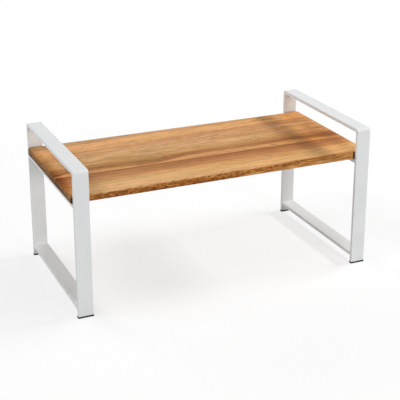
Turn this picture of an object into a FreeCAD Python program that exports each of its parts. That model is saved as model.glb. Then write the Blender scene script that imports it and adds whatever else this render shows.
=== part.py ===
# Shelf riser: a wooden board screwed down between two welded flat-bar side frames.
#
# The board is glued up from three staves. Each side frame is an upright loop of flat bar: two
# posts and a top rail mitred at the corners, with a shelf rail under the board and a foot rail
# near the floor. Thin pads stand under the posts.
#
# Millimetres. +X runs along the board, +Y to the rear and +Z up. The origin is on the floor,
# under the middle of the board.
import FreeCAD
import Part
import Sketcher
import math
import os

doc = FreeCAD.newDocument("ShelfRiser")


# ---- driving sizes ----------------------------------------------------------------------------

SIZES = (
    ("board_length", 400, "end to end"),
    ("board_thick", 10, "thickness of the staves"),
    ("board_height", 155, "upper face above the floor"),
    ("board_round", 1.6, "hand-sanded arrises of the board"),
    ("board_overhang", 1.5, "how far its ends stand out past the side frames"),
    ("board_gap", 2.5, "between its long edges and the posts"),
    ("frame_depth", 200, "over the front and rear posts"),
    ("handle_room", 27.5, "between the board and the top rail"),
    ("foot_room", 10.5, "between the floor and the foot rail"),
    ("bar_width", 19, "flat bar, along the board"),
    ("bar_thick", 4.5, "flat bar, thickness"),
    ("bar_round", 0.6, "arrises of the bar"),
    ("corner_round", 4, "ground outside corner of the loop"),
    ("pad_thick", 2, "foot pad, thickness"),
    ("pad_margin", 0.4, "how far a pad stands out round its post"),
    ("pad_round", 0.8, "upright corners of a pad"),
    ("screw_shank", 4, "wood screw, outside of its thread"),
    ("screw_head", 7.5, "across the countersunk head"),
    ("screw_point", 2, "length of the cone at the tip"),
    ("screw_cover", 2.5, "wood left over the tip"),
    ("screw_play", 0.2, "gap round the shank in the shelf rail"),
    ("screw_tip_room", 0.4, "free depth past the tip in the stave"),
    ("recess_span", 3.6, "cross recess, end to end"),
    ("recess_width", 1, "cross recess, width of one slot"),
    ("recess_deep", 1.5, "cross recess, depth"),
)

sheet = doc.addObject("Spreadsheet::Sheet", "Sizes")
for row, (alias, value, note) in enumerate(SIZES, start=1):
    sheet.set(f"A{row}", alias)
    sheet.set(f"B{row}", str(value))
    sheet.set(f"C{row}", note)
    sheet.setAlias(f"B{row}", alias)
doc.recompute()

# Lengths that several pieces share, as expressions of the sheet.
INNER_DEPTH = "(Sizes.frame_depth - 2 * Sizes.bar_thick)"
STAVE_DEPTH = f"({INNER_DEPTH} - 2 * Sizes.board_gap) / 3"
FRAME_MIDDLE = "(Sizes.board_length / 2 - Sizes.board_overhang - Sizes.bar_width / 2)"
SHELF_RAIL_TOP = "(Sizes.board_height - Sizes.board_thick)"
SHELF_RAIL_UNDERSIDE = f"({SHELF_RAIL_TOP} - Sizes.bar_thick)"
INNER_TOP = "(Sizes.board_height + Sizes.handle_room)"
FRAME_TOP = f"({INNER_TOP} + Sizes.bar_thick)"
SCREW_LENGTH = "(Sizes.bar_thick + Sizes.board_thick - Sizes.screw_cover)"


# Lengths under this count as none when edges are sorted.
TOLERANCE = 0.01

# The included angle of a countersink for wood screws, in degrees.
COUNTERSINK_ANGLE = 90


def size(expression):
    """The value of an expression of the sheet."""
    return float(sheet.evalExpression(expression))


# ---- sketches and features --------------------------------------------------------------------

def new_body(name):
    body = doc.addObject("PartDesign::Body", name)
    body.Label = name
    return body


def new_sketch(body, plane, name):
    """A sketch flat on one of the body's own origin planes."""
    support = next(f for f in body.Origin.OriginFeatures if f.Role == plane)
    sketch = body.newObject("Sketcher::SketchObject", name)
    sketch.AttachmentSupport = (support, [""])
    sketch.MapMode = "FlatFace"
    return sketch


def constrain(sketch, *constraints):
    for constraint in constraints:
        sketch.addConstraint(Sketcher.Constraint(*constraint))


def dimension(sketch, name, expression, *constraint):
    """A dimension of the sketch, bound to the sheet."""
    index = sketch.addConstraint(Sketcher.Constraint(*constraint, size(expression)))
    sketch.renameConstraint(index, name)
    sketch.setExpression(f"Constraints.{name}", expression)


def draw_loop(sketch, corners):
    """Straight lines from corner to corner and back to the first, joined at their ends."""
    points = [FreeCAD.Vector(u, v, 0) for u, v in corners]
    count = len(points)
    for i in range(count):
        sketch.addGeometry(Part.LineSegment(points[i], points[(i + 1) % count]), False)
    for i in range(count):
        constrain(sketch, ("Coincident", i, 2, (i + 1) % count, 1))


def draw_rectangle(sketch, width, height):
    """A rectangle centred on the sketch's origin."""
    u = size(width) / 2
    v = size(height) / 2
    draw_loop(sketch, ((-u, -v), (u, -v), (u, v), (-u, v)))
    constrain(
        sketch,
        ("Horizontal", 0),
        ("Horizontal", 2),
        ("Vertical", 1),
        ("Vertical", 3),
        ("Symmetric", 0, 1, 1, 2, -1, 1),
    )
    dimension(sketch, "width", width, "DistanceX", 0, 1, 0, 2)
    dimension(sketch, "height", height, "DistanceY", 1, 1, 1, 2)


def pad(body, sketch, length, both_ways=False):
    """Thicken a sketch upwards, or equally to both sides of its plane."""
    feature = body.newObject("PartDesign::Pad", "Pad")
    feature.Profile = sketch
    feature.SideType = "Symmetric" if both_ways else "One side"
    feature.setExpression("Length", length)
    doc.recompute()
    return feature


def pocket_up(body, sketch, depth):
    """Cut from the body's underside upwards."""
    before = body.Shape.Volume
    feature = body.newObject("PartDesign::Pocket", "Pocket")
    feature.Profile = sketch
    feature.Reversed = True
    feature.setExpression("Length", depth)
    doc.recompute()
    assert body.Shape.Volume < before, f"a pocket of {body.Label} cuts nothing"


def round_edges(body, base, radius, wanted):
    """Round the edges of the base feature that the test picks."""
    names = [f"Edge{i}" for i, edge in enumerate(base.Shape.Edges, start=1) if wanted(edge)]
    feature = body.newObject("PartDesign::Fillet", "Arrises")
    feature.Base = (base, names)
    feature.setExpression("Radius", radius)
    doc.recompute()


def runs_along(edge, axis):
    """True for a straight edge parallel to X, Y or Z, the axis being 0, 1 or 2."""
    box = edge.BoundBox
    spans = (box.XLength, box.YLength, box.ZLength)
    return all((span > TOLERANCE) == (i == axis) for i, span in enumerate(spans))


def is_corner_arc(edge):
    """True for an arc in the side of a bar, round the outside corner of the loop."""
    return isinstance(edge.Curve, Part.Circle) and edge.BoundBox.XLength < TOLERANCE


def bore_up(body, direction, spread, diameter, depth=None, head=None):
    """Two holes from the body's underside upwards, spread along the sketch's X or Y.

    They are blind where a depth is given, and otherwise go through and are countersunk.
    """
    sketch = new_sketch(body, "XY_Plane", "HoleCentres")
    half = size(spread) / 2
    step = FreeCAD.Vector(half, 0, 0) if direction == "X" else FreeCAD.Vector(0, half, 0)
    for middle in (-step, step):
        circle = Part.Circle(middle, FreeCAD.Vector(0, 0, 1), size(diameter) / 2)
        sketch.addGeometry(circle, False)
    sketch_axis = -1 if direction == "X" else -2
    constrain(
        sketch,
        ("PointOnObject", 0, 3, sketch_axis),
        ("Symmetric", 0, 3, 1, 3, -1, 1),
        ("Equal", 0, 1),
    )
    dimension(sketch, "spread", spread, f"Distance{direction}", 0, 3, 1, 3)
    dimension(sketch, "bore", diameter, "Diameter", 0)
    doc.recompute()
    before = body.Shape.Volume
    hole = body.newObject("PartDesign::Hole", "Holes")
    hole.Profile = sketch
    hole.Threaded = False
    hole.Reversed = True
    hole.DrillPoint = "Flat"
    hole.setExpression("Diameter", diameter)
    if depth:
        hole.DepthType = "Dimension"
        hole.setExpression("Depth", depth)
    else:
        hole.DepthType = "ThroughAll"
        hole.HoleCutType = "Countersink"
        hole.HoleCutCustomValues = True
        hole.HoleCutCountersinkAngle = COUNTERSINK_ANGLE
        hole.setExpression("HoleCutDiameter", head)
    doc.recompute()
    assert body.Shape.Volume < before, f"the holes of {body.Label} cut nothing"


def place(body, x="0", y="0", z="0", turned=False):
    """Put a body in the row frame, turned half round about the vertical where asked."""
    turn = FreeCAD.Rotation(FreeCAD.Vector(0, 0, 1), 180 if turned else 0)
    body.Placement = FreeCAD.Placement(FreeCAD.Vector(), turn)
    for axis, expression in (("x", x), ("y", y), ("z", z)):
        body.setExpression(f"Placement.Base.{axis}", expression)
    return body


# ---- board: three edge-glued staves -----------------------------------------------------------

def make_stave(name, rank, screwed):
    """One stave, its rank -1 at the front to 1 at the rear. Its glued sides stay square."""
    body = new_body(name)
    outline = new_sketch(body, "XY_Plane", "Outline")
    draw_rectangle(outline, "Sizes.board_length", STAVE_DEPTH)
    blank = pad(body, outline, "Sizes.board_thick")
    glued = [side * size(STAVE_DEPTH) / 2 for side in (-1, 1) if side != rank]

    def is_free(edge):
        box = edge.BoundBox
        on_joint = any(abs(box.YMin - y) < TOLERANCE for y in glued)
        return box.YLength > TOLERANCE or not on_joint

    round_edges(body, blank, "Sizes.board_round", is_free)
    if screwed:
        bore_up(
            body,
            "X",
            f"2 * {FRAME_MIDDLE}",
            "Sizes.screw_shank",
            depth=f"{SCREW_LENGTH} - Sizes.bar_thick + Sizes.screw_tip_room",
        )
    return place(body, y=f"{rank} * {STAVE_DEPTH}", z=SHELF_RAIL_TOP)


# ---- side frames: flat bar, welded, ground and painted ----------------------------------------

def make_post(name, x, rear):
    """An upright bar. Its top is cut at 45 degrees, on the line from the loop's inner corner."""
    body = new_body(name)
    sketch = new_sketch(body, "YZ_Plane", "SideView")
    outer = -size("Sizes.frame_depth") / 2
    inner = -size(INNER_DEPTH) / 2
    foot = size("Sizes.pad_thick")
    inner_top = size(INNER_TOP)
    radius = size("Sizes.corner_round")
    middle = FreeCAD.Vector(outer + radius, size(FRAME_TOP) - radius, 0)
    rounding = Part.Circle(middle, FreeCAD.Vector(0, 0, 1), radius)
    corner = Part.ArcOfCircle(rounding, math.radians(135), math.radians(180))
    outer_foot = FreeCAD.Vector(outer, foot, 0)
    inner_foot = FreeCAD.Vector(inner, foot, 0)
    inner_corner = FreeCAD.Vector(inner, inner_top, 0)
    sketch.addGeometry(Part.LineSegment(outer_foot, corner.EndPoint), False)
    sketch.addGeometry(corner, False)
    sketch.addGeometry(Part.LineSegment(corner.StartPoint, inner_corner), False)
    sketch.addGeometry(Part.LineSegment(inner_corner, inner_foot), False)
    sketch.addGeometry(Part.LineSegment(inner_foot, outer_foot), False)
    constrain(
        sketch,
        ("Tangent", 0, 2, 1, 2),
        ("Coincident", 1, 1, 2, 1),
        ("Coincident", 2, 2, 3, 1),
        ("Coincident", 3, 2, 4, 1),
        ("Coincident", 4, 2, 0, 1),
        ("Vertical", 0),
        ("Vertical", 3),
        ("Horizontal", 4),
        ("PointOnObject", 1, 3, 2),
    )
    dimension(sketch, "corner", "Sizes.corner_round", "Radius", 1)
    dimension(sketch, "outer_face", "Sizes.frame_depth / 2", "DistanceX", 0, 1, -1, 1)
    dimension(sketch, "thick", "Sizes.bar_thick", "DistanceX", 4, 2, 4, 1)
    dimension(sketch, "foot", "Sizes.pad_thick", "DistanceY", -1, 1, 0, 1)
    dimension(sketch, "inner_top", INNER_TOP, "DistanceY", -1, 1, 3, 1)
    dimension(sketch, "middle", f"{FRAME_TOP} - Sizes.corner_round", "DistanceY", -1, 1, 1, 3)
    blank = pad(body, sketch, "Sizes.bar_width", both_ways=True)
    round_edges(
        body, blank, "Sizes.bar_round", lambda edge: runs_along(edge, 2) or is_corner_arc(edge)
    )
    return place(body, x=x, turned=rear)


def make_top_rail(name, x):
    """The bar over the board, mitred to both posts; its upper corners are ground round."""
    body = new_body(name)
    sketch = new_sketch(body, "YZ_Plane", "SideView")
    top = size(FRAME_TOP)
    radius = size("Sizes.corner_round")
    flat = size("Sizes.frame_depth") / 2 - radius
    inner = size(INNER_DEPTH) / 2
    inner_top = size(INNER_TOP)
    upwards = FreeCAD.Vector(0, 0, 1)
    rear_round = Part.Circle(FreeCAD.Vector(flat, top - radius, 0), upwards, radius)
    front_round = Part.Circle(FreeCAD.Vector(-flat, top - radius, 0), upwards, radius)
    rear = Part.ArcOfCircle(rear_round, math.radians(45), math.radians(90))
    front = Part.ArcOfCircle(front_round, math.radians(90), math.radians(135))
    rear_inner = FreeCAD.Vector(inner, inner_top, 0)
    front_inner = FreeCAD.Vector(-inner, inner_top, 0)
    sketch.addGeometry(Part.LineSegment(front.StartPoint, rear.EndPoint), False)
    sketch.addGeometry(rear, False)
    sketch.addGeometry(Part.LineSegment(rear.StartPoint, rear_inner), False)
    sketch.addGeometry(Part.LineSegment(rear_inner, front_inner), False)
    sketch.addGeometry(Part.LineSegment(front_inner, front.EndPoint), False)
    sketch.addGeometry(front, False)
    constrain(
        sketch,
        ("Tangent", 0, 2, 1, 2),
        ("Tangent", 0, 1, 5, 1),
        ("Coincident", 1, 1, 2, 1),
        ("Coincident", 2, 2, 3, 1),
        ("Coincident", 3, 2, 4, 1),
        ("Coincident", 4, 2, 5, 2),
        ("Symmetric", 0, 1, 0, 2, -2),
        ("Symmetric", 3, 1, 3, 2, -2),
        ("PointOnObject", 1, 3, 2),
        ("PointOnObject", 5, 3, 4),
        ("Equal", 1, 5),
    )
    dimension(sketch, "corner", "Sizes.corner_round", "Radius", 1)
    dimension(sketch, "flat", "Sizes.frame_depth - 2 * Sizes.corner_round", "DistanceX", 0, 1, 0, 2)
    dimension(sketch, "inner_depth", INNER_DEPTH, "DistanceX", 3, 2, 3, 1)
    dimension(sketch, "top", FRAME_TOP, "DistanceY", -1, 1, 0, 1)
    dimension(sketch, "inner_top", INNER_TOP, "DistanceY", -1, 1, 3, 1)
    blank = pad(body, sketch, "Sizes.bar_width", both_ways=True)
    round_edges(
        body, blank, "Sizes.bar_round", lambda edge: runs_along(edge, 1) or is_corner_arc(edge)
    )
    return place(body, x=x)


def make_cross_rail(name, x, underside, screwed=False):
    """A bar between the posts, its underside at the given height."""
    body = new_body(name)
    outline = new_sketch(body, "XY_Plane", "Outline")
    draw_rectangle(outline, "Sizes.bar_width", INNER_DEPTH)
    blank = pad(body, outline, "Sizes.bar_thick")
    round_edges(body, blank, "Sizes.bar_round", lambda edge: runs_along(edge, 1))
    if screwed:
        bore_up(
            body,
            "Y",
            f"2 * {STAVE_DEPTH}",
            "Sizes.screw_shank + 2 * Sizes.screw_play",
            head="Sizes.screw_head",
        )
    return place(body, x=x, z=underside)


# ---- foot pads --------------------------------------------------------------------------------

def make_pad(name, x, way):
    """A thin pad under a post, in front where way is -1 and at the rear where it is 1."""
    body = new_body(name)
    outline = new_sketch(body, "XY_Plane", "Outline")
    draw_rectangle(
        outline,
        "Sizes.bar_width + 2 * Sizes.pad_margin",
        "Sizes.bar_thick + 2 * Sizes.pad_margin",
    )
    blank = pad(body, outline, "Sizes.pad_thick")
    round_edges(body, blank, "Sizes.pad_round", lambda edge: runs_along(edge, 2))
    return place(body, x=x, y=f"{way} * (Sizes.frame_depth - Sizes.bar_thick) / 2")


# ---- screws: up through the shelf rails into the front and rear staves ------------------------

def make_screw(name, x, way):
    """A countersunk wood screw, its head flush with the underside of the shelf rail.

    The thread is its outer cylinder, and the stave's hole is the size that the thread has cut.
    """
    body = new_body(name)
    profile = new_sketch(body, "XZ_Plane", "HalfProfile")
    head = size("Sizes.screw_head") / 2
    shank = size("Sizes.screw_shank") / 2
    length = size(SCREW_LENGTH)
    draw_loop(
        profile,
        (
            (0, 0),
            (head, 0),
            (shank, head - shank),
            (shank, length - size("Sizes.screw_point")),
            (0, length),
        ),
    )
    constrain(
        profile,
        ("Coincident", 0, 1, -1, 1),
        ("Horizontal", 0),
        ("Vertical", 2),
        ("Vertical", 4),
    )
    dimension(profile, "head", "Sizes.screw_head / 2", "DistanceX", 0, 1, 0, 2)
    dimension(profile, "shank", "Sizes.screw_shank / 2", "DistanceX", -1, 1, 2, 1)
    rise = "(Sizes.screw_head - Sizes.screw_shank) / 2"
    dimension(profile, "rise", rise, "DistanceY", -1, 1, 2, 1)
    dimension(profile, "point", "Sizes.screw_point", "DistanceY", 2, 2, 3, 2)
    dimension(profile, "length", SCREW_LENGTH, "DistanceY", -1, 1, 3, 2)
    turned = body.newObject("PartDesign::Revolution", "Turned")
    turned.Profile = profile
    turned.ReferenceAxis = (profile, ["V_Axis"])
    turned.Angle = 360
    doc.recompute()
    for along, across in (("recess_span", "recess_width"), ("recess_width", "recess_span")):
        slot = new_sketch(body, "XY_Plane", "Slot")
        draw_rectangle(slot, f"Sizes.{along}", f"Sizes.{across}")
        pocket_up(body, slot, "Sizes.recess_deep")
    return place(body, x=x, y=f"{way} * {STAVE_DEPTH}", z=SHELF_RAIL_UNDERSIDE)


# ---- the assembly -----------------------------------------------------------------------------

nodes = [
    make_stave("front_stave", -1, screwed=True),
    make_stave("middle_stave", 0, screwed=False),
    make_stave("rear_stave", 1, screwed=True),
]
screws = []
for side, sign in (("left", -1), ("right", 1)):
    x = f"{sign} * {FRAME_MIDDLE}"
    nodes += [
        make_post(f"{side}_front_post", x, rear=False),
        make_post(f"{side}_rear_post", x, rear=True),
        make_top_rail(f"{side}_top_rail", x),
        make_cross_rail(f"{side}_shelf_rail", x, SHELF_RAIL_UNDERSIDE, screwed=True),
        make_cross_rail(f"{side}_foot_rail", x, "Sizes.foot_room"),
        make_pad(f"{side}_front_pad", x, -1),
        make_pad(f"{side}_rear_pad", x, 1),
    ]
    screws += [
        make_screw(f"{side}_front_screw", x, -1),
        make_screw(f"{side}_rear_screw", x, 1),
    ]

all_screws = doc.addObject("Part::Compound", "board_screws")
all_screws.Label = "board_screws"
all_screws.Links = screws
nodes.append(all_screws)

doc.recompute()
for item in doc.Objects:
    assert not {"Invalid", "Error"} & set(item.State), f"{item.Label} failed: {item.State}"
for node in nodes:
    assert not node.Shape.isNull() and node.Shape.isValid(), f"{node.Label} has no sound shape"
    solids = 4 if node is all_screws else 1
    assert len(node.Shape.Solids) == solids, f"{node.Label} has {len(node.Shape.Solids)} solids"

os.makedirs("parts", exist_ok=True)
for node in nodes:
    node.Shape.exportStep(f"parts/{node.Label}.step")
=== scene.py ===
from math import pi, radians

import bmesh
import bpy
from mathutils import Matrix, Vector


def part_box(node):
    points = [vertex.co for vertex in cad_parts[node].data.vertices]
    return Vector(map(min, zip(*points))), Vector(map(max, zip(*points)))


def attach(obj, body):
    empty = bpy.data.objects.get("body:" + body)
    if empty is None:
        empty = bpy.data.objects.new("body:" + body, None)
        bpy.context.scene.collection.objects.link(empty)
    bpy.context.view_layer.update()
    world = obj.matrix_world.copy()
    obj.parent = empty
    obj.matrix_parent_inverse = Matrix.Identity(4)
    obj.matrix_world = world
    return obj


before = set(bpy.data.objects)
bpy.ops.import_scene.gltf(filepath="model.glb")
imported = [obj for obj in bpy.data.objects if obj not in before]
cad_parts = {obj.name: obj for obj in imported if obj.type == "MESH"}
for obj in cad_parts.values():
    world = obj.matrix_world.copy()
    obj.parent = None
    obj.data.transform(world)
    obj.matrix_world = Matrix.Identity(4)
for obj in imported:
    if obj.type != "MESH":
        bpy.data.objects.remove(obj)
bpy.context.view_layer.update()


# ---- Side frames -------------------------------------------------------------------------------
# Two rectangular loops of 19 x 4.5 mm flat steel bar, mitred at the top corners, butt-welded,
# ground and then sprayed with white polyester powder and baked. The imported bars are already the
# right shape, so they only get their coat.

MM = 0.001                     # metres in one
BAR_NAMES = ("front_post", "rear_post", "top_rail", "shelf_rail", "foot_rail")
COAT_WHITE = "E5E6E6"
COAT_WHITE_THIN = "E1E3E4"
COAT_PATCH = 30                # mm across, where the coat lies thicker or thinner
COAT_ROUGHNESS = (0.40, 0.48)  # where it is thin, and where it is thick
POLYESTER_IOR = 1.5
PEEL_WAVE = 1.8                # mm, really about 1 mm; drawn coarser so that it shows
PEEL_HEIGHT = 0.03             # mm
NOISE_LOW, NOISE_HIGH = 0.3, 0.7   # most of a noise lies between these


def linear(hex_colour):
    """An sRGB hex colour as the linear RGBA that a shader takes."""
    channels = [int(hex_colour[i:i + 2], 16) / 255 for i in (0, 2, 4)]
    return tuple(c / 12.92 if c <= 0.04045 else ((c + 0.055) / 1.055) ** 2.4
                 for c in channels) + (1.0,)


def add_node(tree, kind, inputs={}, stops=(), points=(), **settings):
    """Adds a node. An input is a number, a socket, or a node whose first live output feeds it.
    Stops are a ramp's (place, hex colour) pairs, and points a curve's (x, y) pairs."""
    node = tree.nodes.new("ShaderNode" + kind)
    for option, setting in settings.items():
        setattr(node, option, setting)
    for name, value in inputs.items():
        if isinstance(value, bpy.types.Node):
            value = next(output for output in value.outputs if output.enabled)
        if isinstance(value, bpy.types.NodeSocket):
            tree.links.new(value, node.inputs[name])
        else:
            node.inputs[name].default_value = value
    for index, (place, colour) in enumerate(stops):
        ramp = node.color_ramp.elements
        stop = ramp[index] if index < 2 else ramp.new(place)
        stop.position, stop.color = place, linear(colour)
    for index, point in enumerate(points):
        line = node.mapping.curves[0].points
        if index in (0, len(points) - 1):
            line[0 if index == 0 else -1].location = point
        else:
            line.new(*point)
    return node


def start_material(name):
    """An empty material, and its own coordinates in millimetres."""
    material = bpy.data.materials.new(name)
    material.use_nodes = True
    tree = material.node_tree
    tree.nodes.clear()
    place = add_node(tree, "TexCoord").outputs["Object"]
    return material, tree, add_node(tree, "Mapping", {"Vector": place, "Scale": (1 / MM,) * 3})


def dress(piece, material):
    """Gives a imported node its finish."""
    for slot in piece.material_slots:
        slot.material = material


# Polyester powder coat, sprayed and baked: an even satin white whose skin stays very slightly
# rippled, like orange peel, and takes the light a touch less evenly than paint would.
powder_coat, tree, mm = start_material("white_powder_coat")
thickness = add_node(tree, "TexNoise", {"Vector": mm, "Scale": 1 / COAT_PATCH, "Detail": 1.0})
tint = add_node(tree, "ValToRGB", {"Fac": thickness},
                stops=((0.3, COAT_WHITE_THIN), (0.6, COAT_WHITE)))
peel = add_node(tree, "TexNoise", {"Vector": mm, "Scale": 1 / PEEL_WAVE, "Detail": 1.5})
ripple = add_node(tree, "Bump", {"Height": peel, "Strength": 1.0, "Distance": PEEL_HEIGHT * MM})
sheen = add_node(tree, "MapRange", {
    "Value": thickness, "From Min": NOISE_LOW, "From Max": NOISE_HIGH,
    "To Min": COAT_ROUGHNESS[0], "To Max": COAT_ROUGHNESS[1]})
coat = add_node(tree, "BsdfPrincipled", {"Base Color": tint, "Normal": ripple,
                                         "Roughness": sheen, "IOR": POLYESTER_IOR})
add_node(tree, "OutputMaterial", {"Surface": coat})

for side in ("left", "right"):
    for bar in BAR_NAMES:
        dress(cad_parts[f"{side}_{bar}"], powder_coat)


# ---- Weld fillets ------------------------------------------------------------------------------
# The small run of weld metal in each inside corner of a frame, where a post meets a rail. It is
# dressed to a hollow and coated over with the bars, so it shows only as a softened corner.

WELD_LEG = 1.3       # mm along each bar
WELD_CUT = 0.93      # how much of the leg the hollow takes away
WELD_HOLLOW = 0.12   # bevel profile, 0.25 is flat and 0.5 is round
WELD_FACETS = 5
WELD_SMOOTH = 40     # degrees, the sharpest bend between two facets that is shaded smooth
BAR_ARRIS = 0.6      # mm, the rounding of the bars' long edges, which the weld stops short of
QUARTER_TURNS = {(1, 1): 0, (-1, 1): 1, (-1, -1): 2, (1, -1): 3}   # by the way a corner opens


def select_nothing():
    """Leaves nothing selected, so that the next operator acts only on its own piece."""
    if bpy.context.object and bpy.context.object.mode != "OBJECT":
        bpy.ops.object.mode_set(mode="OBJECT")
    bpy.ops.object.select_all(action="DESELECT")


def add_block(name, low, high):
    """A block between two corners, in metres: the start of a piece that is then shaped."""
    select_nothing()
    low, high = Vector(low), Vector(high)
    bpy.ops.mesh.primitive_cube_add(size=1, location=(low + high) / 2, scale=high - low)
    block = bpy.context.object
    block.name = block.data.name = name
    bpy.ops.object.transform_apply(location=True, rotation=True, scale=True)
    return block


def pick_edges(piece, wanted):
    """Selects, in edit mode, the edges whose middle and direction pass the test."""
    if piece.mode != "EDIT":
        bpy.ops.object.mode_set(mode="EDIT")
    bpy.ops.mesh.select_mode(type="EDGE")
    bpy.ops.mesh.select_all(action="DESELECT")
    mesh = bmesh.from_edit_mesh(piece.data)
    for edge in mesh.edges:
        a, b = edge.verts[0].co, edge.verts[1].co
        if wanted((a + b) / 2, (b - a).normalized()):
            edge.select_set(True)
    bmesh.update_edit_mesh(piece.data)


def weld_spots(side):
    """Each inside corner of one frame: its y and z, and the way it opens."""
    for end, inward in (("front", 1), ("rear", -1)):
        low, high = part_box(f"{side}_{end}_post")
        face = high[1] if inward > 0 else low[1]
        yield face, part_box(f"{side}_top_rail")[0][2], inward, -1
        for rail in ("shelf_rail", "foot_rail"):
            low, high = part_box(f"{side}_{rail}")
            yield face, low[2], inward, -1
            yield face, high[2], inward, 1


bar_low, bar_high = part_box("left_shelf_rail")
weld_half = (bar_high[0] - bar_low[0]) / 2 - BAR_ARRIS * MM
bead = add_block("weld", (-weld_half, 0, 0), (weld_half, WELD_LEG * MM, WELD_LEG * MM))
pick_edges(bead, lambda middle, way: abs(way.x) > 0.9 and middle.y > 0 and middle.z > 0)
bpy.ops.mesh.bevel(offset=WELD_CUT * WELD_LEG * MM, segments=WELD_FACETS, profile=WELD_HOLLOW)
bpy.ops.object.mode_set(mode="OBJECT")

for side in ("left", "right"):
    low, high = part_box(f"{side}_shelf_rail")
    copies = []
    for y, z, opens_y, opens_z in weld_spots(side):
        copy = bpy.data.objects.new(f"{side}_weld", bead.data.copy())
        bpy.context.scene.collection.objects.link(copy)
        copy.location = ((low[0] + high[0]) / 2, y, z)
        copy.rotation_euler.x = QUARTER_TURNS[opens_y, opens_z] * pi / 2
        copies.append(copy)
    select_nothing()
    for copy in copies:
        copy.select_set(True)
    bpy.context.view_layer.objects.active = copies[0]
    bpy.ops.object.transform_apply(location=True, rotation=True, scale=True)
    bpy.ops.object.join()
    welds = bpy.context.object
    welds.name = welds.data.name = f"{side}_frame_welds"
    bpy.ops.object.shade_smooth_by_angle(angle=radians(WELD_SMOOTH))
    welds.data.materials.append(powder_coat)
    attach(welds, "root")
bpy.data.objects.remove(bead)


# ---- Foot pads ---------------------------------------------------------------------------------
# Four thin pads of black rubber, die-cut from sheet, their rims eased, and stuck under the posts.
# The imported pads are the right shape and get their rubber.

RUBBER = "1D1D1E"
RUBBER_DUSTY = "29292A"
RUBBER_GRAIN = 0.9     # mm, really about half of that; drawn coarser so that it shows
RUBBER_RELIEF = 0.05   # mm
RUBBER_ROUGHNESS = 0.85
RUBBER_IOR = 1.52

# Black sheet rubber, rolled and die-cut: matt and nearly black, with a fine dusty grain.
rubber, tree, mm = start_material("black_sheet_rubber")
grain = add_node(tree, "TexNoise", {"Vector": mm, "Scale": 1 / RUBBER_GRAIN, "Detail": 3.0})
tint = add_node(tree, "ValToRGB", {"Fac": grain}, stops=((0.4, RUBBER), (0.7, RUBBER_DUSTY)))
relief = add_node(tree, "Bump", {"Height": grain, "Strength": 1.0,
                                 "Distance": RUBBER_RELIEF * MM})
skin = add_node(tree, "BsdfPrincipled", {"Base Color": tint, "Normal": relief,
                                         "Roughness": RUBBER_ROUGHNESS, "IOR": RUBBER_IOR})
add_node(tree, "OutputMaterial", {"Surface": skin})

for side in ("left", "right"):
    for end in ("front", "rear"):
        dress(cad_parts[f"{side}_{end}_pad"], rubber)


# ---- Middle and rear staves --------------------------------------------------------------------
# The board is three staves of acacia, planed, glued edge to edge, sanded and oiled. Each was sawn
# from another place in the log, so each has its own bands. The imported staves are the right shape
# and get their wood.

SWEEP_REACH = 20.0            # mm, the most that the grain may stray across
RIPPLE_SIZE = (90, 26, 26)    # mm, its small ripples on top of that, and how far they stray
RIPPLE_REACH = 2.0
RING_SLOPE = 0.55             # mm that the rings shift across for each mm of depth
RUDDY_SIZE = (130, 5, 20)     # mm, streaks of redder heartwood, and the hues from red to yellow
RUDDY_HUES = (0.491, 0.511)
SOAK_REACH = 0.8              # the most that the oil may deepen or thin the colour, as a gamma
DARK_END = 17                 # mm at the left end that is drawn darker, and its shade there
DARK_END_SHADE = 0.74
END_TURN = (0.55, 0.85)       # how far a face turns to the end for end grain to start and be full
CELL_SIZE = (40, 4.5, 2.5)    # mm, rings and clusters of vessels, seen end on
END_PAINTED_SHADES = (1.3, 0.42)  # the ends' shade from top to bottom: painted light at the top and painted shade towards the bottom
GRAIN_RELIEF = 0.12           # mm
GRAIN_SHADES = (0.75, 1.15)   # of open grain and of close grain, and how rough the oil leaves them
OILED_ROUGHNESS = (0.66, 0.52)
OIL_IOR = 1.45
OIL_SPECULAR = 0.12           # low, as little oil stays on the surface
MULTIPLIED = {"data_type": "RGBA", "blend_type": "MULTIPLY"}   # a Mix of a colour and a shade

# place in the noise, and what the oil leaves of a band's colour there on a sawn end
END_GRAIN = ((0.3, "4B4748"), (0.5, "A19986"), (0.68, "DAD6C6"))

# the grain's lines, each drawn coarser than it is where the real one is too fine to show:
# length, width and depth in mm, detail, where the noise starts and ends, darkest and lightest
GRAIN_LINES = (
    (190, 7.0, 30, 3.0, 0.30, 0.70, 0.89, 1.10),   # bands of some years
    (90, 2.6, 12, 3.0, 0.28, 0.72, 0.84, 1.14),    # single rings
    (45, 1.3, 4, 2.0, 0.30, 0.70, 0.88, 1.10),     # early and late wood
    (13, 1.0, 0.6, 2.0, 0.72, 0.56, 0.62, 1.05))   # open vessels, really 0.2 mm across
FINE_SPAN = 2    # mm, lines narrower than this are stronger in one stave than in another
MIDDLE_FINE = 1.5
REAR_FINE = 1.7
MIDDLE_SEED = 31   # each stave's own place in the noises
REAR_SEED = 67

# distance along the board from 0 to 1, and mm that the grain has strayed towards the rear there
JOINT_SWEEP = ((0, -7), (0.02, -6), (0.05, -2.5), (0.12, -2), (0.22, -4), (0.3, -9.5),
               (0.39, -3), (0.48, 1), (0.6, 0.5), (0.78, -1), (0.88, -4), (1, -6))
MIDDLE_SWEEP = ((0, -1), (0.12, 0), (0.25, 9), (0.38, 4), (0.5, 2), (0.72, 1), (0.85, 5), (1, 8))
REAR_SIDE_SWEEP = ((0, -10), (0.18, -7.5), (0.3, -4), (0.43, -1.5), (0.55, 2.5), (0.7, 7),
                   (1, 13))
REAR_JOINT_SWEEP = ((0, -9), (0.18, -7), (0.3, -4), (0.43, -1.5), (0.55, 0), (0.7, 1), (1, 3))

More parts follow.
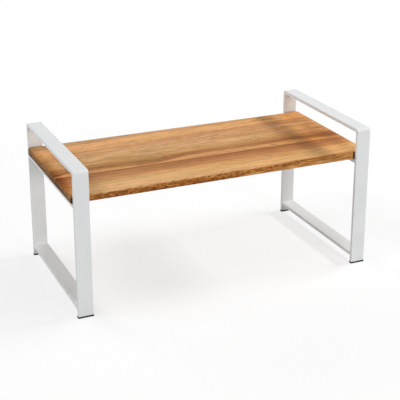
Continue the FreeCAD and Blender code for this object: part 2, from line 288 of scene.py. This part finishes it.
# distance along the board, and how much deeper the oil turns the colour there
REAR_SOAK = ((0, 0.15), (0.03, 0.1), (0.08, 0.02), (0.2, 0), (0.35, 0), (0.75, 0.06),
             (0.85, 0.14), (0.96, 0.2), (1, 0.1))
MIDDLE_SOAK = ((0, 0.36), (0.012, 0.32), (0.03, 0.12), (0.05, 0.03), (0.2, 0), (0.35, 0),
               (0.7, 0.05), (0.8, 0.16), (0.9, 0.3), (0.96, 0.3), (1, 0))

# mm from the stave's front side, and the colour there
MIDDLE_BANDS = ((0, "9A6840"), (1.2, "BE8857"), (3, "CC955C"), (9, "CE9860"), (11, "C78F5A"),
                (14, "A46C3D"), (18, "A56E41"), (23, "AF7A4B"), (29, "C4905C"), (36, "CA9A68"),
                (44, "CC9D6C"), (50, "D4A473"), (56, "D0A070"), (62, "C79865"))
REAR_BANDS = ((0, "C0905C"), (0.7, "C99A69"), (5, "CF9D6E"), (9, "CF9C6D"), (14, "C79465"),
              (19, "C99766"), (24, "C58F5F"), (29, "D39E69"), (34, "DCA56E"), (40, "DEA76F"),
              (45, "DAA16A"), (51, "D4A16F"), (56, "CE9C6B"), (62, "BA8E64"))

# dark lenses of heartwood: the middle's x and y, half length and half width in mm, and the shade
MIDDLE_LENSES = ((-78, 2, 62, 7, 0.76), (-82, -10, 46, 3.5, 0.68), (-150, -12, 46, 3, 0.76),
                 (95, 22, 60, 5, 0.86))


def oiled_acacia(node, bands, sweeps, soak, seed, fine, lenses=()):
    """The wood of one stave up to its colour: acacia, planed, sanded and oiled, in honey to
    reddish brown bands, darker and greyer on the sawn ends. Fine is how strong its narrow lines
    are, and seed is its place in the noises."""
    material, tree, mm = start_material("oiled_acacia_" + node)
    low, high = [[length / MM for length in corner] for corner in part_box(node)]
    place = add_node(tree, "SeparateXYZ", {"Vector": mm})
    x, y, z = place.outputs["X"], place.outputs["Y"], place.outputs["Z"]

    # the grain strays across the stave as the tree grew, unlike at its two sides
    along = add_node(tree, "MapRange", {"Value": x, "From Min": low[0], "From Max": high[0]})
    stray = [add_node(tree, "FloatCurve", {"Value": along},
                      points=[(at, 0.5 + mm_there / (2 * SWEEP_REACH)) for at, mm_there in sweep])
             for sweep in sweeps]
    rearward = add_node(tree, "MapRange", {"Value": y, "From Min": low[1], "From Max": high[1]})
    stray = add_node(tree, "Mix", {0: rearward, 2: stray[0], 3: stray[1]})
    stray = add_node(tree, "MapRange", {"Value": stray, "To Min": -SWEEP_REACH,
                                        "To Max": SWEEP_REACH})
    ripple = add_node(tree, "Mapping", {"Vector": mm, "Location": (seed, 0, 0),
                                        "Scale": [1 / size for size in RIPPLE_SIZE]})
    ripple = add_node(tree, "TexNoise", {"Vector": ripple, "Scale": 1.0, "Detail": 1.0})
    ripple = add_node(tree, "MapRange", {
        "Value": ripple, "From Min": NOISE_LOW, "From Max": NOISE_HIGH,
        "To Min": -RIPPLE_REACH, "To Max": RIPPLE_REACH})
    stray = add_node(tree, "Math", {0: stray, 1: ripple}, operation="ADD")
    across = add_node(tree, "Math", {0: y, 1: stray}, operation="SUBTRACT")

    # and its rings lie at a slope through the thickness
    depth = add_node(tree, "Math", {0: high[2], 1: z}, operation="SUBTRACT")
    across = add_node(tree, "Math", {0: depth, 1: RING_SLOPE, 2: across}, operation="MULTIPLY_ADD")
    band = add_node(tree, "MapRange", {"Value": across, "From Min": low[1], "From Max": high[1]})
    width = high[1] - low[1]
    banded = add_node(tree, "ValToRGB", {"Fac": band}, stops=[(at / width, c) for at, c in bands])

    # lighter and darker lines and lenses follow it, and some of them are redder than others
    grain = add_node(tree, "CombineXYZ", {"X": x, "Y": across, "Z": z})
    shade = add_node(tree, "MapRange", {"Value": x, "From Min": low[0],
                                        "From Max": low[0] + DARK_END,
                                        "To Min": DARK_END_SHADE, "To Max": 1.0})
    for length, span, deep, detail, start, end, darkest, lightest in GRAIN_LINES:
        lines = add_node(tree, "Mapping", {"Vector": grain, "Location": (seed, span, 0),
                                           "Scale": (1 / length, 1 / span, 1 / deep)})
        lines = add_node(tree, "TexNoise", {"Vector": lines, "Scale": 1.0, "Detail": detail})
        strength = fine if span < FINE_SPAN else 1.0
        lines = add_node(tree, "MapRange", {"Value": lines, "From Min": start, "From Max": end,
                                            "To Min": darkest ** strength,
                                            "To Max": lightest ** strength})
        shade = add_node(tree, "Math", {0: shade, 1: lines}, operation="MULTIPLY")
    for middle_x, middle_y, half_long, half_wide, darkest in lenses:
        lens = add_node(tree, "Mapping", {
            "Vector": grain, "Scale": (1 / half_long, 1 / half_wide, 0),
            "Location": (-middle_x / half_long, -middle_y / half_wide, 0)})
        lens = add_node(tree, "VectorMath", {0: lens}, operation="LENGTH")
        lens = add_node(tree, "MapRange", {"Value": lens, "To Min": darkest, "To Max": 1.0})
        shade = add_node(tree, "Math", {0: shade, 1: lens}, operation="MULTIPLY")
    colour = add_node(tree, "Mix", {0: 1.0, 6: banded, 7: shade}, **MULTIPLIED)
    ruddy = add_node(tree, "Mapping", {"Vector": grain, "Location": (0, 0, seed),
                                       "Scale": [1 / size for size in RUDDY_SIZE]})
    ruddy = add_node(tree, "TexNoise", {"Vector": ruddy, "Scale": 1.0, "Detail": 2.0})
    ruddy = add_node(tree, "MapRange", {
        "Value": ruddy, "From Min": NOISE_LOW, "From Max": NOISE_HIGH,
        "To Min": RUDDY_HUES[0], "To Max": RUDDY_HUES[1]})
    colour = add_node(tree, "HueSaturation", {"Color": colour, "Hue": ruddy})

    # oil soaks deeper near the cut ends
    soak = add_node(tree, "FloatCurve", {"Value": along},
                    points=[(at, 0.5 + deeper / (2 * SOAK_REACH)) for at, deeper in soak])
    soak = add_node(tree, "MapRange", {"Value": soak, "To Min": 1 - SOAK_REACH,
                                       "To Max": 1 + SOAK_REACH})
    colour = add_node(tree, "Gamma", {"Color": colour, "Gamma": soak})

    # the bands run on through the sawn ends, darker, with the rings and vessels end on
    facing = add_node(tree, "TexCoord").outputs["Normal"]
    facing = add_node(tree, "SeparateXYZ", {"Vector": facing})
    facing = add_node(tree, "Math", {0: facing.outputs["X"]}, operation="ABSOLUTE")
    is_end = add_node(tree, "MapRange", {"Value": facing, "From Min": END_TURN[0],
                                         "From Max": END_TURN[1]})
    cells = add_node(tree, "Mapping", {"Vector": grain, "Location": (seed, 1, 0),
                                       "Scale": [1 / size for size in CELL_SIZE]})
    cells = add_node(tree, "TexNoise", {"Vector": cells, "Scale": 1.0, "Detail": 4.0,
                                        "Roughness": 0.7})
    cells = add_node(tree, "ValToRGB", {"Fac": cells}, stops=END_GRAIN)
    cells = add_node(tree, "Mix", {0: 1.0, 6: banded, 7: cells}, **MULTIPLIED)
    # painted light and shade on the ends: lighter at the top, darker towards the bottom
    painted_end_shade = add_node(tree, "MapRange", {
        "Value": depth, "From Max": high[2] - low[2],
        "To Min": END_PAINTED_SHADES[0], "To Max": END_PAINTED_SHADES[1]})
    cells = add_node(tree, "Mix", {0: 1.0, 6: cells, 7: painted_end_shade}, **MULTIPLIED)
    colour = add_node(tree, "Mix", {0: is_end, 6: colour, 7: cells}, data_type="RGBA")
    return {"material": material, "tree": tree, "mm": mm, "along": along, "depth": depth, "x": x,
            "y": y, "colour": colour, "shade": shade, "is_end": is_end}


def oil_over(wood, node):
    """Ends a stave's wood with its oiled surface: a low sheen, as the oil soaks in, and the open
    grain as relief. Gives it to the stave."""
    tree = wood["tree"]
    relief = add_node(tree, "Bump", {"Height": wood["shade"], "Distance": GRAIN_RELIEF * MM})
    sheen = add_node(tree, "MapRange", {
        "Value": wood["shade"], "From Min": GRAIN_SHADES[0], "From Max": GRAIN_SHADES[1],
        "To Min": OILED_ROUGHNESS[0], "To Max": OILED_ROUGHNESS[1]})
    oil = add_node(tree, "BsdfPrincipled", {
        "Base Color": wood["colour"], "Normal": relief, "Roughness": sheen, "IOR": OIL_IOR,
        "Specular IOR Level": OIL_SPECULAR})
    add_node(tree, "OutputMaterial", {"Surface": oil})
    dress(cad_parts[node], wood["material"])


middle_wood = oiled_acacia("middle_stave", MIDDLE_BANDS, (JOINT_SWEEP, MIDDLE_SWEEP), MIDDLE_SOAK,
                           MIDDLE_SEED, MIDDLE_FINE, MIDDLE_LENSES)
rear_wood = oiled_acacia("rear_stave", REAR_BANDS, (REAR_JOINT_SWEEP, REAR_SIDE_SWEEP), REAR_SOAK,
                         REAR_SEED, REAR_FINE)
oil_over(middle_wood, "middle_stave")
oil_over(rear_wood, "rear_stave")


# ---- Front stave -------------------------------------------------------------------------------
# The stave that shows its edge, of the same oiled acacia. Its pale sapwood rounds over the front
# arris, and below it the edge runs along the rings, where they come out as short dark flecks,
# paler towards the right.

# as for the other staves: where the grain strays, where the oil goes deeper, and the bands
FRONT_SWEEP = ((0, -1), (0.3, 0), (0.6, 0), (0.8, 0.5), (0.9, 4), (1, 6))
FRONT_SOAK = ((0, 0.45), (0.012, 0.4), (0.03, 0.12), (0.06, -0.05), (0.35, -0.03), (0.7, 0.03),
              (0.8, 0.05), (0.9, 0.08), (0.96, 0.06), (1, -0.15))
FRONT_BANDS = ((0, "D3A26F"), (3, "DCA972"), (13, "E4B078"), (22, "DBA870"), (29, "D39E65"),
               (34, "C89059"), (38, "C08653"), (43, "BA7F50"), (49, "B27648"), (55, "A86D40"),
               (59, "9E6538"), (61, "935C33"), (62, "7A4B28"))
FRONT_SEED = 11
FRONT_FINE = 1.0

FLECK_SIZE = (4.5, 1.7, 1.7)  # mm, and the flecks' place in the noise
FLECK_PLACE = (4, 9, 2)
FLECK_BROWNS = ((0.3, "5E3514"), (0.43, "8C5326"), (0.54, "A8682F"), (0.7, "CB8E4C"))
PAINTED_LOW_DEPTHS = (5.0, 10.0)        # mm below the top where the flecks darken as painted shade, and the shade they reach
PAINTED_LOW_SHADE = 0.7
STREAK_SIZE = (20, 1.6, 1.6)  # mm, and the streaks' place in the noise
STREAK_PLACE = (1, 5, 7)
STREAK_ORANGES = ((0.34, "925D2C"), (0.46, "B67C44"), (0.55, "C98D51"), (0.66, "D8A060"))
EDGE_REACH = 12.0             # mm, the furthest that either border below may lie from the arris
RAGGED_SIZE = (5, 2, 2)       # mm, a border's wanderings, and how far up and down they go
BORDER_RAGGED = 1.2
BORDER_BLUR = 1.4             # mm either way over which a border fades
GAP_SHADOW_LEFT = 1.5           # mm left of each post that the painted shadow of the gap behind it reaches
GAP_SHADOW_BLUR = 1.0           # mm over which it fades, and its shade
GAP_SHADOW_SHADE = 0.3

# distance along the board, and mm from the top's front arris down to where the flecks begin:
# below 0 they begin on the top
FLECK_BORDER = ((0, 1.9), (0.15, 1.9), (0.3, 1.2), (0.55, 1.2), (0.68, 0.6), (0.76, -2),
                (1, -1.5))
# and mm below the top where they turn to paler streaks
STREAK_BORDER = ((0, 11), (0.5, 11), (0.6, 6), (0.68, 6), (0.75, 3), (0.85, 1.2), (1, 0.8))

wood = oiled_acacia("front_stave", FRONT_BANDS, (FRONT_SWEEP, FRONT_SWEEP), FRONT_SOAK,
                    FRONT_SEED, FRONT_FINE)
tree = wood["tree"]

# dark, reddish flecks, darker still towards the bottom as painted shade
flecks = add_node(tree, "Mapping", {"Vector": wood["mm"], "Location": FLECK_PLACE,
                                    "Scale": [1 / size for size in FLECK_SIZE]})
flecks = add_node(tree, "TexNoise", {"Vector": flecks, "Scale": 1.0, "Detail": 3.0})
flecks = add_node(tree, "ValToRGB", {"Fac": flecks}, stops=FLECK_BROWNS)
painted_low_shade = add_node(tree, "MapRange", {
    "Value": wood["depth"], "From Min": PAINTED_LOW_DEPTHS[0], "From Max": PAINTED_LOW_DEPTHS[1],
    "To Min": 1.0, "To Max": PAINTED_LOW_SHADE})
flecks = add_node(tree, "Mix", {0: 1.0, 6: flecks, 7: painted_low_shade}, **MULTIPLIED)

# long orange streaks
streaks = add_node(tree, "Mapping", {"Vector": wood["mm"], "Location": STREAK_PLACE,
                                     "Scale": [1 / size for size in STREAK_SIZE]})
streaks = add_node(tree, "TexNoise", {"Vector": streaks, "Scale": 1.0, "Detail": 3.0})
streaks = add_node(tree, "ValToRGB", {"Fac": streaks}, stops=STREAK_ORANGES)

# both begin at a ragged border
ragged = add_node(tree, "Mapping", {"Vector": wood["mm"],
                                    "Scale": [1 / size for size in RAGGED_SIZE]})
ragged = add_node(tree, "TexNoise", {"Vector": ragged, "Scale": 1.0, "Detail": 3.0})
ragged = add_node(tree, "MapRange", {
    "Value": ragged, "From Min": NOISE_LOW, "From Max": NOISE_HIGH,
    "To Min": -BORDER_RAGGED, "To Max": BORDER_RAGGED})


def past_border(border, depth):
    """0 above a border that runs along the stave's edge, and 1 below it."""
    line = add_node(tree, "FloatCurve", {"Value": wood["along"]},
                    points=[(at, 0.5 + mm_there / (2 * EDGE_REACH)) for at, mm_there in border])
    line = add_node(tree, "MapRange", {"Value": line, "To Min": -EDGE_REACH, "To Max": EDGE_REACH})
    line = add_node(tree, "Math", {0: line, 1: ragged}, operation="ADD")
    past = add_node(tree, "Math", {0: depth, 1: line}, operation="SUBTRACT")
    return add_node(tree, "MapRange", {"Value": past, "From Min": -BORDER_BLUR,
                                       "From Max": BORDER_BLUR})


inward = add_node(tree, "Math", {0: wood["y"], 1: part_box("front_stave")[0][1] / MM},
                  operation="SUBTRACT")
around = add_node(tree, "Math", {0: wood["depth"], 1: inward}, operation="SUBTRACT")
inside = past_border(FLECK_BORDER, around)
pale = past_border(STREAK_BORDER, wood["depth"])
edge = add_node(tree, "Mix", {0: pale, 6: flecks, 7: streaks}, data_type="RGBA")
edge = add_node(tree, "Mix", {0: 1.0, 6: edge, 7: wood["shade"]}, **MULTIPLIED)

# painted shadow: the edge is darkened in the gap behind each post and just left of it, where the
# post shades it
for side in ("left", "right"):
    low, high = [corner[0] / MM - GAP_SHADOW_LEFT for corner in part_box(f"{side}_front_post")]
    off = add_node(tree, "Math", {0: wood["x"], 1: (low + high) / 2}, operation="SUBTRACT")
    off = add_node(tree, "Math", {0: off}, operation="ABSOLUTE")
    painted_gap_shadow = add_node(tree, "MapRange", {
        "Value": off, "From Min": (high - low) / 2 - GAP_SHADOW_BLUR, "From Max": (high - low) / 2,
        "To Min": GAP_SHADOW_SHADE, "To Max": 1.0})
    edge = add_node(tree, "Mix", {0: 1.0, 6: edge, 7: painted_gap_shadow}, **MULTIPLIED)

# the sawn ends keep their end grain
not_end = add_node(tree, "Math", {0: 1.0, 1: wood["is_end"]}, operation="SUBTRACT")
inside = add_node(tree, "Math", {0: inside, 1: not_end}, operation="MULTIPLY")
wood["colour"] = add_node(tree, "Mix", {0: inside, 6: wood["colour"], 7: edge}, data_type="RGBA")
oil_over(wood, "front_stave")


# ---- Board screws ------------------------------------------------------------------------------
# Four countersunk cross-head screws of zinc-plated steel, driven up through the shelf rails into
# the staves. Only their heads show, from underneath.

ZINC = "C3C7C9"
ZINC_DULL = "A9ADAE"
ZINC_MOTTLE = 0.8              # mm, really finer; drawn coarser so that it shows
ZINC_ROUGHNESS = (0.42, 0.28)  # where it is dull, and where it is bright

# Steel with a bright zinc plate: a slightly blue, finely mottled metal with a soft gloss.
zinc, tree, mm = start_material("zinc_plated_steel")
mottle = add_node(tree, "TexNoise", {"Vector": mm, "Scale": 1 / ZINC_MOTTLE, "Detail": 3.0})
tint = add_node(tree, "ValToRGB", {"Fac": mottle}, stops=((0.35, ZINC_DULL), (0.65, ZINC)))
gloss = add_node(tree, "MapRange", {
    "Value": mottle, "From Min": NOISE_LOW, "From Max": NOISE_HIGH,
    "To Min": ZINC_ROUGHNESS[0], "To Max": ZINC_ROUGHNESS[1]})
plate = add_node(tree, "BsdfPrincipled", {"Base Color": tint, "Roughness": gloss, "Metallic": 1.0})
add_node(tree, "OutputMaterial", {"Surface": plate})
dress(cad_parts["board_screws"], zinc)


# ---- Studio ------------------------------------------------------------------------------------
# A pale floor that runs out of sight under a white room, as a paper roll does. It lights the
# object from below as paper does, and is seen as nearly white, with a weak shadow on it.

FLOOR_SIZE = 16          # metres
FLOOR_WHITE = "C6C6C6"
SHADOW_SHARE = 0.3       # how much of the floor's look near the object comes from the lamps
SHADOW_REACH = 0.34      # metres from the object's middle where that begins to fade
ROOM_AMBIENT = 0.03      # the room's light on the object; it is seen as plain white
PLAIN_WHITE = (1, 1, 1, 1)

select_nothing()
bpy.ops.mesh.primitive_plane_add(size=FLOOR_SIZE, location=(0, 0, 0))
floor = bpy.context.object
floor.name = "studio_floor"


def seen_directly(tree):
    """1 for what the camera sees, also in metal or glass, and 0 for what lights the room."""
    ray = add_node(tree, "LightPath")
    mirrored = add_node(tree, "Math", {0: ray.outputs["Is Glossy Ray"],
                                       1: ray.outputs["Is Transmission Ray"]}, operation="MAXIMUM")
    return add_node(tree, "Math", {0: ray.outputs["Is Camera Ray"], 1: mirrored},
                    operation="MAXIMUM")


paper = bpy.data.materials.new("matt_white_paper")
paper.use_nodes = True
tree = paper.node_tree
tree.nodes.clear()
place = add_node(tree, "TexCoord").outputs["Object"]
distance = add_node(tree, "VectorMath", {0: place}, operation="LENGTH")
own_white = add_node(tree, "MapRange", {"Value": distance, "From Min": SHADOW_REACH,
                                        "From Max": 2 * SHADOW_REACH,
                                        "To Min": 1 - SHADOW_SHARE, "To Max": 1.0})
seen = seen_directly(tree)
own_white = add_node(tree, "Math", {0: own_white, 1: seen}, operation="MULTIPLY")
tint = add_node(tree, "Mix", {0: seen, 6: linear(FLOOR_WHITE), 7: PLAIN_WHITE}, data_type="RGBA")
matt = add_node(tree, "BsdfDiffuse", {"Color": tint})
white = add_node(tree, "Emission", {"Color": PLAIN_WHITE, "Strength": 1.0})
sheet = add_node(tree, "MixShader", {0: own_white, 1: matt, 2: white})
add_node(tree, "OutputMaterial", {"Surface": sheet})
floor.data.materials.append(paper)

world = bpy.data.worlds.new("white_room")
bpy.context.scene.world = world
world.use_nodes = True
tree = world.node_tree
tree.nodes.clear()
strength = add_node(tree, "MapRange", {"Value": seen_directly(tree), "To Min": ROOM_AMBIENT,
                                       "To Max": 1.0})
glow = add_node(tree, "Background", {"Color": PLAIN_WHITE, "Strength": strength})
add_node(tree, "OutputWorld", {"Surface": glow})


def hang_softbox(name, place, aim, wide, high, level, mirrored=True):
    """A soft box, its place, aim, width and height in metres. Its level is how bright it alone
    makes a white card that faces it at its aim, and it is mirrored in the object or not."""
    light = bpy.data.lights.new(name, "AREA")
    light.shape = "RECTANGLE"
    light.size, light.size_y = wide, high
    away = Vector(place) - Vector(aim)
    light.energy = level * pi ** 2 * away.length ** 2
    lamp = bpy.data.objects.new(name, light)
    bpy.context.scene.collection.objects.link(lamp)
    lamp.location = place
    lamp.rotation_euler = away.to_track_quat("Z", "Y").to_euler()
    lamp.visible_camera = False
    lamp.visible_glossy = mirrored


# A strip box at the right throws the handle bar's soft shadow on the board, and a small one
# overhead darkens the board under both bars. A wide one fills from high on the left, and two low
# ones light the front, one of them from the left. The last fills from behind. Three of them would
# glare in the white coat in views that face them, so they give light but aren't mirrored.
hang_softbox("strip_right", (2.085, 0.0, 1.302), (0.189, 0, 0.185), 0.9, 0.32, 0.80,
             mirrored=False)
hang_softbox("overhead", (0.55, 0.0, 1.85), (0, 0, 0.155), 0.55, 0.55, 0.16)
hang_softbox("left_high", (-1.35, -0.2, 1.9), (0, 0, 0.1), 1.1, 0.9, 0.31)
hang_softbox("left_front", (-1.6, -1.7, 0.68), (0, 0, 0.1), 1.0, 0.6, 0.125)
hang_softbox("front", (0.46, -2.45, 0.42), (0, 0, 0.1), 0.7, 0.7, 0.46, mirrored=False)
hang_softbox("rear", (-1.5, 2.1, 1.2), (0, 0, 0.1), 1.4, 1.0, 0.38, mirrored=False)

# The viewing angle: from the front left, looking down about twenty degrees through a long lens.
CAMERA_PLACE = (-0.5177, -1.1785, 0.6043)
CAMERA_DOWN = 19.416     # degrees that it looks below level, and to the right
CAMERA_RIGHT = 23.88
CAMERA_SENSOR = 36.0     # mm, and its lens in mm
CAMERA_LENS = 94.5
CAMERA_SHIFT = -0.12     # puts the object in the middle of the picture

lens = bpy.data.cameras.new("camera")
lens.sensor_width = CAMERA_SENSOR
lens.lens = CAMERA_LENS
lens.shift_y = CAMERA_SHIFT
camera = bpy.data.objects.new("camera", lens)
bpy.context.scene.collection.objects.link(camera)
camera.location = CAMERA_PLACE
camera.rotation_euler = (radians(90 - CAMERA_DOWN), 0, radians(-CAMERA_RIGHT))
bpy.context.scene.camera = camera
bpy.context.scene.view_settings.view_transform = "Standard"
